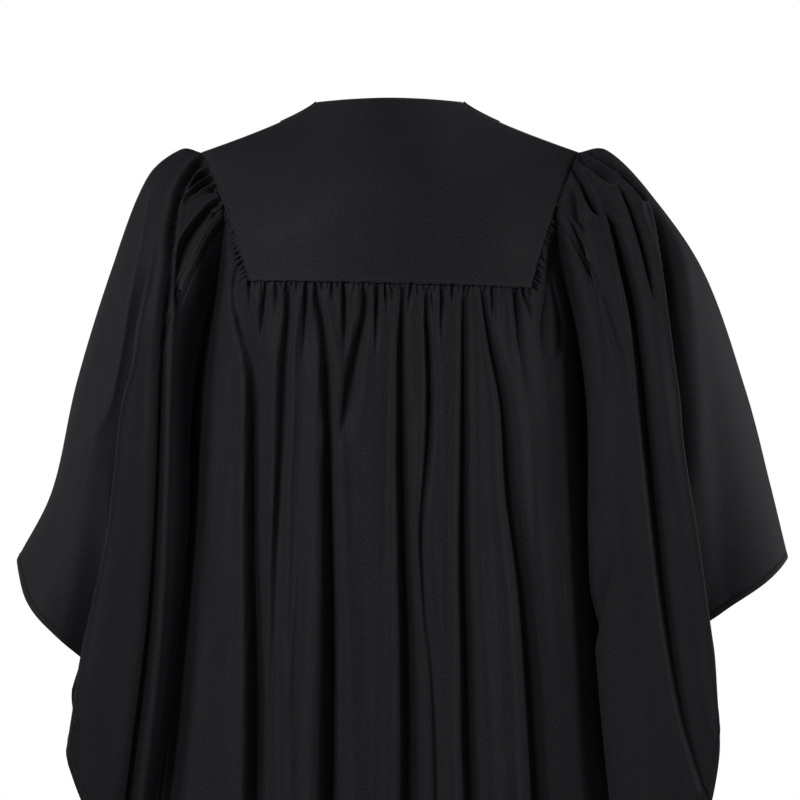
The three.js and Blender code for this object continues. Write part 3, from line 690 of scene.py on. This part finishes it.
back_points = back_grid()
back_panel = cloth_piece("gown_back_panel", back_points, black_cloth)
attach(back_panel, "root")
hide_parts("back_panel")
back_hem = stitch_rows("gown_back_stitches", [(back_points[-2], grid_normals(back_points)[-2])])


# The two fronts: plain lengths of the cloth sewn to the shoulders and the sides. They hang open, and
# widen to the hem in soft upright folds.

ARMHOLE_DROP = 355
ARMHOLE_FRONT_DIP = 22
FRONT_RISE = 150
FRONT_ROUND = 0.8
SHOULDER_MEET = 40
FRONT_COLUMNS = 150
FRONT_ROWS = 100
FRONT_ROW_EASE = 1.3
FRONT_FOLD_START = 0.2
FRONT_RIPPLES = {"widths": (40, 90), "lengths": (400, 1500)}
FRONT_RIPPLE_SEED = 31
FRONT_RIPPLE_DEPTH = 0.8
FRONT_RIPPLE_START = 0.1
FRONT_SIDE_FADE = 0.08
FRONT_EDGE = {"drop": [0, 120, 300, 1190], "out": [83, 74, 70, 92]}
FRONT_FOLDS = [
    {"share": (0.4, 0.36), "deep": (3, 22), "wide": 0.085},
    {"share": (0.62, 0.56), "deep": (4, 26), "wide": 0.075},
    {"share": (0.82, 0.78), "deep": (2, 24), "wide": 0.075},
]


def front_outer(drop):
    share = np.clip((drop - SHOULDER_DROP) / (ARMHOLE_DROP - SHOULDER_DROP), 0, 1)
    return body("half", drop) - ARMHOLE_FRONT_DIP * np.sin(share * np.pi)


def front_grid(side):
    share = np.linspace(0, 1, FRONT_COLUMNS + 1)[None, :]
    down = (np.linspace(0, 1, FRONT_ROWS + 1) ** FRONT_ROW_EASE)[:, None]
    top_drop = shoulder_drop(mix(NECK_HALF, SHOULDER_HALF, share))
    drop = mix(top_drop, GOWN_DROP, down)
    out = mix(curve(FRONT_EDGE["drop"], FRONT_EDGE["out"], drop), front_outer(drop), share)
    level = np.sqrt(np.maximum(0, 1 - (out / body("half", drop)) ** 2))
    rise = np.sin(np.clip((drop - top_drop) / FRONT_RISE, 0, 1) * np.pi / 2) ** FRONT_ROUND
    on_yoke = yoke_surface(mix(NECK_HALF, SHOULDER_HALF, share) / SHOULDER_HALF, 0 * share)
    sewn = 1 - smooth((drop - top_drop) / SHOULDER_MEET)
    depth = body("front", drop) * level * rise + on_yoke[..., 1] * sewn
    for fold in FRONT_FOLDS:
        place = mix(*fold["share"], down)
        dent = np.exp(-(np.abs((share - place) / fold["wide"]) ** 2))
        depth -= dent * mix(*fold["deep"], down) * smooth(down / FRONT_FOLD_START)
    ripples = soft_ripples(out * side, drop, FRONT_RIPPLE_SEED + side, **FRONT_RIPPLES)
    fade = smooth(down / FRONT_RIPPLE_START) * smooth((1 - share) / FRONT_SIDE_FADE)
    depth += ripples * FRONT_RIPPLE_DEPTH * fade
    return np.stack([side * out, depth, -drop], axis=-1)


SIDES = [("left", -1), ("right", 1)]
front_points = {}
for label, side in SIDES:
    front_points[side] = front_grid(side)
    front = cloth_piece(f"gown_front_{label}", front_points[side], black_cloth, turned=side > 0)
    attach(front, "root")
    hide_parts(f"front_{label}")


# The front bands: a narrow doubled strip of the cloth, laid on each front along its free edge. Their
# upper ends show beside the neck, where they stand a little off the shoulder.

BAND_WIDTH = 42
BAND_COLUMNS = 24
BAND_LIFT = 0.4
BAND_LIFT_DROP = 60
BAND_GAP = 0.3
BAND_THICK = 1.5

for label, side in SIDES:
    points = front_points[side]
    outward = grid_normals(points) * -side
    widths = np.abs(points[:, -1, 0] - points[:, 0, 0])
    share = np.linspace(0, 1, BAND_COLUMNS + 1)[None, :] * (BAND_WIDTH / widths)[:, None]
    place = share * FRONT_COLUMNS
    low = np.clip(np.floor(place).astype(int), 0, FRONT_COLUMNS - 1)
    part = (place - low)[..., None]
    row = np.arange(FRONT_ROWS + 1)[:, None]
    on_front = mix(points[row, low], points[row, low + 1], part)
    lift_way = mix(outward[row, low], outward[row, low + 1], part)
    lift = BAND_GAP + BAND_THICK + BAND_LIFT * (1 - smooth(-on_front[..., 2] / BAND_LIFT_DROP))
    band_points = on_front + lift_way * lift[..., None]
    band = cloth_piece(f"gown_band_{label}", band_points, black_cloth, turned=side > 0)
    band.modifiers["thickness"].thickness = BAND_THICK * MM
    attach(band, "root")
    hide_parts(f"band_{label}")


# The sleeves: each a wide open tube of the cloth, gathered at its head to the yoke and the front, and
# hanging from the shoulder in a few deep folds to a narrow turned hem.

# Sections of both sleeves, from the armhole (0) to the hem (1): the line beside the body, how far the
# sleeve stands out before the arm, and how far it hangs there below a straight line.
BOTH_SLEEVES = {
    "along": [0, 0.06, 0.15, 0.32, 0.55, 0.8, 1],
    "inner": [225, 229, 237, 252, 271, 291, 308],
    "inner_drop": [355, 372, 405, 480, 586, 696, 782],
    "front": [52, 62, 72, 84, 92, 98, 102],
    "front_sag": [0, 3, 6, 18, 42, 66, 84],
}
# Sections of each sleeve: the line over the arm, how far the sleeve stands out and hangs behind it,
# how far it reaches in behind the body, and how far its hem draws in beside its first long fold.
LEFT_SLEEVE = {
    "side": -1,
    "outer": [214, 238, 276, 317, 356, 384, 424],
    "outer_drop": [57, 54, 86, 190, 316, 440, 520],
    "back": [62, 74, 90, 106, 122, 134, 142],
    "sag": [0, 4, 10, 34, 78, 122, 157],
    "tuck": [0, 3, 16, 40, 50, 53, 52],
    "bay": [0, 0, 0, 0, 4, 18, 48],
    "bay_at": (0.29, 0.09),
    "ease": 1.02,
}
RIGHT_SLEEVE = {
    "side": 1,
    "outer": [214, 246, 292, 356, 404, 433, 453],
    "outer_drop": [57, 54, 97, 190, 326, 438, 521],
    "back": [62, 74, 90, 108, 124, 138, 148],
    "sag": [0, 5, 14, 50, 112, 178, 230],
    "tuck": [0, 4, 18, 46, 60, 66, 66],
    "bay": [0, 0, 0, 2, 10, 30, 57],
    "bay_at": (0.2, 0.14),
    "ease": 0.8,
}
# The folds of each sleeve: a valley's way from head to hem as distances from the centre back and
# drops, its depth and sideways lean along it, and the widths of its outer and inner walls.
LEFT_SLEEVE["creases"] = [
    {
        "way": [(270, 96), (273, 127), (281, 178), (292, 239), (302, 300), (318, 356), (336, 388)],
        "deep": [0, -1.4, -1.6, -1.8, -1.6, -1, 0],
        "walls": [(3, 3), (3, 3)],
    },
    {
        "way": [(277, 100), (280, 127), (289, 178), (300, 239), (310, 300), (327, 356), (345, 388)],
        "deep": [2, 4, 6, 7, 7, 5, 0],
        "walls": [(14, 3), (20, 3)],
    },
    {
        "way": [(265, 170), (269, 200), (278, 250), (285, 300), (297, 348), (304, 417), (311, 490)],
        "deep": [0, -1.4, -1.8, -1.8, -1.6, -1.2, 0],
        "walls": [(3, 3), (3, 3)],
    },
    {
        "way": [
            (269, 170), (273, 200), (283, 250), (290, 300), (303, 348), (311, 417), (320, 490),
            (336, 562), (352, 640), (366, 740),
        ],
        "deep": [0, 4, 7, 10, 14, 20, 26, 31, 35, 35],
        "walls": [(10, 2), (34, 4)],
        "lean": [0, 0, 0, 0, -2, -4, -7, -9, -8, 0],
        "hang": [0, 0, 0, 0, 0, 2, 6, 12, 16, 16],
    },
    {
        "way": [(205, 69), (215, 73), (221, 79), (230, 94), (237, 112)],
        "deep": [6, 9, 10, 11, 8],
        "walls": [(4, 2), (4, 2)],
        "rim": 0.3,
    },
    {
        "way": [(198, 82), (213, 86), (225, 96), (236, 112)],
        "deep": [6, 8, 8, 4],
        "walls": [(2, 2), (2, 2)],
        "rim": 0.3,
    },
    {
        "way": [(195, 91), (210, 95), (220, 103), (230, 111)],
        "deep": [6, 7, 6, 1],
        "walls": [(2, 2), (2, 2)],
        "rim": 0.3,
    },
    {
        "way": [(192, 100), (199, 102), (207, 105)],
        "deep": [5, 6, 0],
        "walls": [(2, 2), (2, 2)],
        "rim": 0.3,
    },
    {
        "way": [
            (233, 102), (238, 117), (240, 132), (242, 155), (244, 190), (247, 240), (250, 300),
            (255, 473), (262, 595), (275, 712), (290, 830),
        ],
        "deep": [9, 12, 13, 14, 14, 13, 13, 14, 17, 19, 18],
        "walls": [(4, 1.5), (9, 4)],
    },
    {
        "way": [
            (189, 114), (200, 120), (208, 129), (219, 143), (228, 158), (235, 175), (238, 197),
            (238, 218), (236, 245),
        ],
        "deep": [6, 9, 11, 12, 13, 12, 10, 7, 0],
        "walls": [(2, 6), (4, 10)],
        "rim": 0.3,
    },
    {"way": [(190, 118), (197, 126), (199, 135)], "deep": [6, 7, 0], "walls": [(3, 3), (3, 3)]},
]
RIGHT_SLEEVE["creases"] = [
    {
        "way": [
            (296, 112), (303, 137), (307, 167), (311, 205), (317, 250), (322, 290), (329, 339),
            (334, 395), (350, 496), (364, 596), (377, 700),
        ],
        "deep": [5, 15, 20, 24, 26, 27, 28, 29, 33, 40, 36],
        "walls": [(11, 2), (60, 4)],
        "lean": [0, 0, -1, -1, -2, -3, -5, -7, -10, -11, -2],
        "hang": [0, 0, 0, 0, 0, 0, 2, 6, 16, 28, 28],
        "rim": 0.4,
    },
    {
        "way": [(259, 97), (268, 118), (277, 145), (285, 175), (291, 205), (297, 240)],
        "deep": [4, 11, 15, 14, 9, 0],
        "walls": [(5, 2), (5, 2)],
        "rim": 0.4,
    },
    {
        "way": [
            (242, 122), (249, 140), (255, 165), (262, 200), (269, 240), (276, 300), (280, 350),
            (290, 453), (303, 566), (322, 680), (346, 766),
        ],
        "deep": [5, 14, 19, 22, 24, 24, 23, 22, 18, 13, 9],
        "walls": [(12, 2), (20, 4)],
        "rim": 0.4,
    },
    {
        "way": [(209, 94), (212, 124), (215, 154), (221, 190), (227, 240), (233, 290), (238, 339)],
        "deep": [4, 8, 9, 9, 7, 4, 0],
        "walls": [(4, 6), (8, 8)],
    },
    {
        "way": [(206, 74), (217, 92), (224, 109), (231, 122), (236, 128)],
        "deep": [8, 15, 18, 16, 5],
        "walls": [(3, 3), (5, 4)],
        "rim": 0.4,
    },
    {
        "way": [(215, 63), (232, 76), (245, 86), (256, 94)],
        "deep": [7, 12, 14, 4],
        "walls": [(3, 3), (4, 4)],
        "rim": 0.4,
    },
    {
        "way": [(230, 60), (253, 75), (271, 90), (286, 106), (291, 111)],
        "deep": [6, 11, 14, 13, 4],
        "walls": [(3, 3), (5, 4)],
        "rim": 0.4,
    },
    {
        "way": [(250, 480), (245, 530), (236, 570), (226, 610)],
        "deep": [0, 6, 10, 6],
        "walls": [(2, 8), (3, 8)],
    },
]
SLEEVE_FRONT_CREASES = [
    {"way": [(250, 90), (290, 350), (338, 620)], "deep": [3, 10, 12], "walls": [(20, 10), (36, 20)]},
    {"way": [(232, 130), (262, 400), (296, 660)], "deep": [3, 10, 12], "walls": [(14, 14), (26, 26)]},
]
BAY_START = 0.14
RING_ROUND = 0.62
RING_CORNER = 0.24
UNDERARM = 0.5
FRONT_GATHERS_AT = 0.72
# The sleeve's ring runs from the shoulder point down the back to the underarm and up the front: where
# each stretch ends, how many even gathers it has and how many columns of the grid.
RING = [(RING_CORNER, 0, 140), (UNDERARM, 0, 100), (FRONT_GATHERS_AT, 0, 50), (1.0, 10, 90)]
SLEEVE_ROWS = 104
SLEEVE_ROW_EASE = 1.35
SLEEVE_ROUND = 900
SLEEVE_RIPPLES = {"widths": (50, 120), "lengths": (400, 1600)}
SLEEVE_RIPPLE_SEED = 41
SLEEVE_RIPPLE_DEPTH = 0.9
SLEEVE_RIPPLE_START = 0.2
HEAD_GATHER_DEPTH = 3
HEAD_GATHER_POWER = 2.5
HEAD_GATHER_PEAK = 0.045
HEAD_BLEND = 0.3
RING_MIDDLE = 0.4
LAYER_EDGE = 0.03
SLEEVE_FOLD_START = 0.02
HEAD_PUCKER_PITCH = 5.5
HEAD_PUCKER_DEPTH = 4
HEAD_PUCKER_RISE = 0.4
HEAD_PUCKER_REACH = 0.022
HEAD_PUCKER_SEED = 7
PUCKER_SPACING = (0.6, 1.4)
PUCKER_HEIGHT = (0.4, 1.0)
HEM_BAND = 0.018
HEM_TURN = 0.003
HEM_ROWS = np.array([1.0, 0.9, 0.5, 0.08, 0.0])
HEM_STEP = 0.9
HEM_STEP_REACH = 0.002


def sleeve_ring(sleeve, around, along):
    """The sleeve without its folds: loops that hang from the line over the arm."""

    def own(column):
        return curve(BOTH_SLEEVES["along"], sleeve[column], along)

    def shared(column):
        return curve(BOTH_SLEEVES["along"], BOTH_SLEEVES[column], along)

    behind = around <= UNDERARM
    share = np.where(behind, around / UNDERARM, (1 - around) / (1 - UNDERARM))
    depth = np.where(behind, -own("back"), shared("front"))
    sag = np.where(behind, own("sag"), shared("front_sag"))
    tuck = np.where(behind, own("tuck") * np.sin(share**3 * np.pi), 0)
    bay_at, bay_width = sleeve["bay_at"]
    draw = np.exp(-(((share - bay_at) / bay_width) ** 2)) * smooth(share / BAY_START)
    out = mix(own("outer"), shared("inner"), share ** sleeve["ease"])
    fall = mix(own("outer_drop"), shared("inner_drop"), share)
    return np.stack(
        [
            sleeve["side"] * (out - tuck - own("bay") * draw),
            depth * np.maximum(np.sin(share * np.pi), 0) ** RING_ROUND,
            -fall - sag * np.sin(share**2 * np.pi),
        ],
        axis=-1,
    )


def armhole_loop(side, around):
    """The loop that a sleeve is sewn to: the yoke's side, the back panel's edge and the front's."""
    on_yoke = yoke_surface(np.full(around.shape, float(side)), ARMHOLE_CORNER * around / RING_CORNER)
    back_edge = back_points[:, 0] if side < 0 else back_points[:, -1]
    front_edge = front_points[side][:, -1]

    def at_drop(edge, drop):
        level = [np.interp(drop, -edge[:, 2], edge[:, axis]) for axis in (0, 1)]
        return np.stack(level + [-drop], axis=-1)

    start = -back_edge[0, 2]
    below_corner = (around - RING_CORNER) / (UNDERARM - RING_CORNER)
    beside = at_drop(back_edge, mix(start, ARMHOLE_DROP, below_corner))
    before = at_drop(front_edge, mix(SHOULDER_DROP, ARMHOLE_DROP, (1 - around) / (1 - UNDERARM)))
    place = around[:, None]
    return np.where(place <= RING_CORNER, on_yoke, np.where(place <= UNDERARM, beside, before))


def seam_puckers(seed, along, pitch):
    """Uneven small puckers along a gathered seam, from 0 to 1."""
    draw = np.random.default_rng(seed)
    count = int(along.max() / pitch) + 2
    starts = np.cumsum(draw.uniform(*PUCKER_SPACING, count)) * pitch
    depths = draw.uniform(*PUCKER_HEIGHT, count)
    place = np.interp(along, starts, np.arange(count))
    return np.abs(np.cos(np.pi * place)) ** 2 * np.interp(along, starts, depths)


def sleeve_grid(sleeve):
    side = sleeve["side"]
    around, phase, gathered = [], [], []
    start = 0.0
    for end, gathers, columns in RING:
        share = np.arange(columns) / columns
        around.append(mix(start, end, share))
        phase.append(share * gathers)
        gathered.append(np.full(columns, gathers > 0))
        start = end
    around, phase, gathered = (np.concatenate(part) for part in (around, phase, gathered))
    body_rows = (1 - HEM_BAND - HEM_TURN) * np.linspace(0, 1, SLEEVE_ROWS + 1) ** SLEEVE_ROW_EASE
    along = np.concatenate([body_rows, 1 - HEM_BAND * HEM_ROWS])[:, None]
    ring = around[None, :]
    points = sleeve_ring(sleeve, ring + 0 * along, along + 0 * ring)
    sewn = 1 - smooth(along / HEAD_BLEND)
    head = sleeve_ring(sleeve, around, np.zeros(around.shape))
    points += (armhole_loop(side, around) - head)[None] * sewn[..., None]

    drop = -points[..., 2]
    behind = ring <= UNDERARM
    inward = grid_normals(points) * side
    edge = np.minimum(ring, np.abs(UNDERARM - ring))
    edge = np.minimum(edge, 1 - ring)
    open_layer = smooth(edge / LAYER_EDGE) * smooth(along / SLEEVE_FOLD_START)
    outward_place = -np.abs(points[..., 0])
    for creases, layer in ((sleeve["creases"], behind), (SLEEVE_FRONT_CREASES, ~behind)):
        mirrored = []
        for crease in creases:
            mirrored.append({**crease, "way": [(-out, fall) for out, fall in crease["way"]]})
        pressed, leaning, hanging = crease_cloth(mirrored, outward_place, drop)
        points = points + inward * (pressed * open_layer * layer)[..., None]
        points[..., 0] += side * leaning * open_layer * layer
        points[..., 2] -= hanging * open_layer * layer

    over_arm = sleeve_ring(sleeve, 0 * along[:, 0], along[:, 0])
    under_arm = sleeve_ring(sleeve, 0 * along[:, 0] + UNDERARM, along[:, 0])
    outward = points - mix(over_arm, under_arm, RING_MIDDLE)[:, None]
    outward[..., 0] = 0
    outward /= np.linalg.norm(outward, axis=-1, keepdims=True)
    swell = (along / HEAD_GATHER_PEAK) * np.exp(1 - along / HEAD_GATHER_PEAK)
    wave = np.where(gathered, 1 - 2 * np.abs(np.cos(np.pi * phase)) ** HEAD_GATHER_POWER, 0)[None, :]
    ripples = soft_ripples(ring * SLEEVE_ROUND, drop, SLEEVE_RIPPLE_SEED + side, **SLEEVE_RIPPLES)
    ripples *= SLEEVE_RIPPLE_DEPTH * smooth(along / SLEEVE_RIPPLE_START)
    hem = HEM_STEP * smooth((along - 1 + HEM_BAND) / HEM_STEP_REACH)
    seam_length = np.linalg.norm(np.diff(points[0], axis=0), axis=-1)
    seam_along = np.concatenate([[0], np.cumsum(seam_length)])
    tucks = seam_puckers(HEAD_PUCKER_SEED + side, seam_along, HEAD_PUCKER_PITCH) - HEAD_PUCKER_RISE
    tucks = tucks * (around <= RING_CORNER)
    tucks = tucks * HEAD_PUCKER_DEPTH * np.exp(-((along / HEAD_PUCKER_REACH) ** 2))
    lift = wave * HEAD_GATHER_DEPTH * swell + ripples + hem - tucks
    return points + outward * lift[..., None]


HEM_STITCH_ROW = SLEEVE_ROWS + 2
for label, sleeve in (("left", LEFT_SLEEVE), ("right", RIGHT_SLEEVE)):
    side = sleeve["side"]
    points = sleeve_grid(sleeve)
    tube = cloth_piece(f"gown_sleeve_{label}", points, black_cloth, closed=True, turned=side > 0)
    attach(tube, "root")
    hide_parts(f"sleeve_{label}")
    hem_line = np.concatenate([points[HEM_STITCH_ROW], points[HEM_STITCH_ROW, :1]])
    outward = grid_normals(points)[HEM_STITCH_ROW] * -side
    outward = np.concatenate([outward, outward[:1]])
    hem_stitches = stitch_rows(f"gown_sleeve_stitches_{label}", [(hem_line, outward)])


# The studio: a pale floor below the hem, a white surround and six soft square lamps. The two strongest
# stand behind the gown to its left and in front of it, and the camera stands level behind the gown.

FLOOR_DROP = 1440
FLOOR_RADIUS = 3.2
FLOOR_SIDES = 96
FLOOR_PALE = (0.85, 0.85, 0.85, 1)
FLOOR_ROUGHNESS = 0.8
floor_mesh = bpy.data.meshes.new("floor")
floor_turns = np.linspace(0, 2 * np.pi, FLOOR_SIDES, endpoint=False)
floor_ring = []
for turn in floor_turns:
    floor_ring.append((FLOOR_RADIUS * np.cos(turn), FLOOR_RADIUS * np.sin(turn), -FLOOR_DROP * MM))
floor_mesh.from_pydata(floor_ring, [], [list(range(len(floor_ring)))])
floor = bpy.data.objects.new("floor", floor_mesh)
bpy.context.scene.collection.objects.link(floor)
floor_paint = bpy.data.materials.new("pale_floor")
floor_paint.use_nodes = True
floor_surface = floor_paint.node_tree.nodes["Principled BSDF"]
floor_surface.inputs["Base Color"].default_value = FLOOR_PALE
floor_surface.inputs["Roughness"].default_value = FLOOR_ROUGHNESS
floor_mesh.materials.append(floor_paint)

AIR_STRENGTH = 0.04
GLANCE_STRENGTH = 0.08
world = bpy.data.worlds.new("studio")
bpy.context.scene.world = world
world.use_nodes = True
world.node_tree.nodes.clear()
air = Shade(world.node_tree)
seen = air.node("ShaderNodeLightPath")
mirrored = air.node("ShaderNodeLightPath", output="Is Glossy Ray")
strength = air.math("MAXIMUM", seen, AIR_STRENGTH + mirrored * GLANCE_STRENGTH)
surround = air.node("ShaderNodeBackground", {}, {"Color": (1, 1, 1, 1), "Strength": strength})
air.node("ShaderNodeOutputWorld", {}, {"Surface": surround})

LIGHTS = [
    {"name": "key_light", "at": (-1.7, -2.8, 1.0), "aim": (0, 0, -0.4), "spread": 180, "power": 33},
    {"name": "left_light", "at": (-2.4, -1.6, 0.8), "aim": (-0.2, 0, -0.4), "spread": 40, "power": 1.7},
    {"name": "right_light", "at": (2.6, -0.6, -0.1), "aim": (0.3, -0.1, -0.45), "spread": 40, "power": 1.7},
    {"name": "right_rim", "at": (2.6, 1.1, 0.3), "aim": (0, 0, -0.4), "spread": 180, "power": 11},
    {"name": "front_light", "at": (0.4, 3.4, 1.2), "aim": (0, 0, -0.4), "spread": 180, "power": 30},
    {"name": "left_rim", "at": (-2.8, 0.8, 0.3), "aim": (0, 0, -0.4), "spread": 180, "power": 3},
]
LIGHT_SIZE = 0.8
for light in LIGHTS:
    lamp = bpy.data.lights.new(light["name"], "AREA")
    lamp.size = LIGHT_SIZE
    lamp.energy = light["power"]
    lamp.spread = np.radians(light["spread"])
    stand = bpy.data.objects.new(light["name"], lamp)
    stand.location = light["at"]
    stand.rotation_euler = (Vector(light["aim"]) - stand.location).to_track_quat("-Z", "Y").to_euler()
    stand.visible_camera = False
    bpy.context.scene.collection.objects.link(stand)

CAMERA_AT = (0.0114, -4.5, -0.339)
FRAME_WIDTH = 0.910
SENSOR = 36
lens = bpy.data.cameras.new("camera")
lens.sensor_width = SENSOR
lens.lens = SENSOR * -CAMERA_AT[1] / FRAME_WIDTH
camera = bpy.data.objects.new("camera", lens)
camera.location = CAMERA_AT
camera.rotation_euler = (np.pi / 2, 0, 0)
bpy.context.scene.collection.objects.link(camera)
bpy.context.scene.camera = camera
bpy.context.scene.view_settings.view_transform = "Standard"
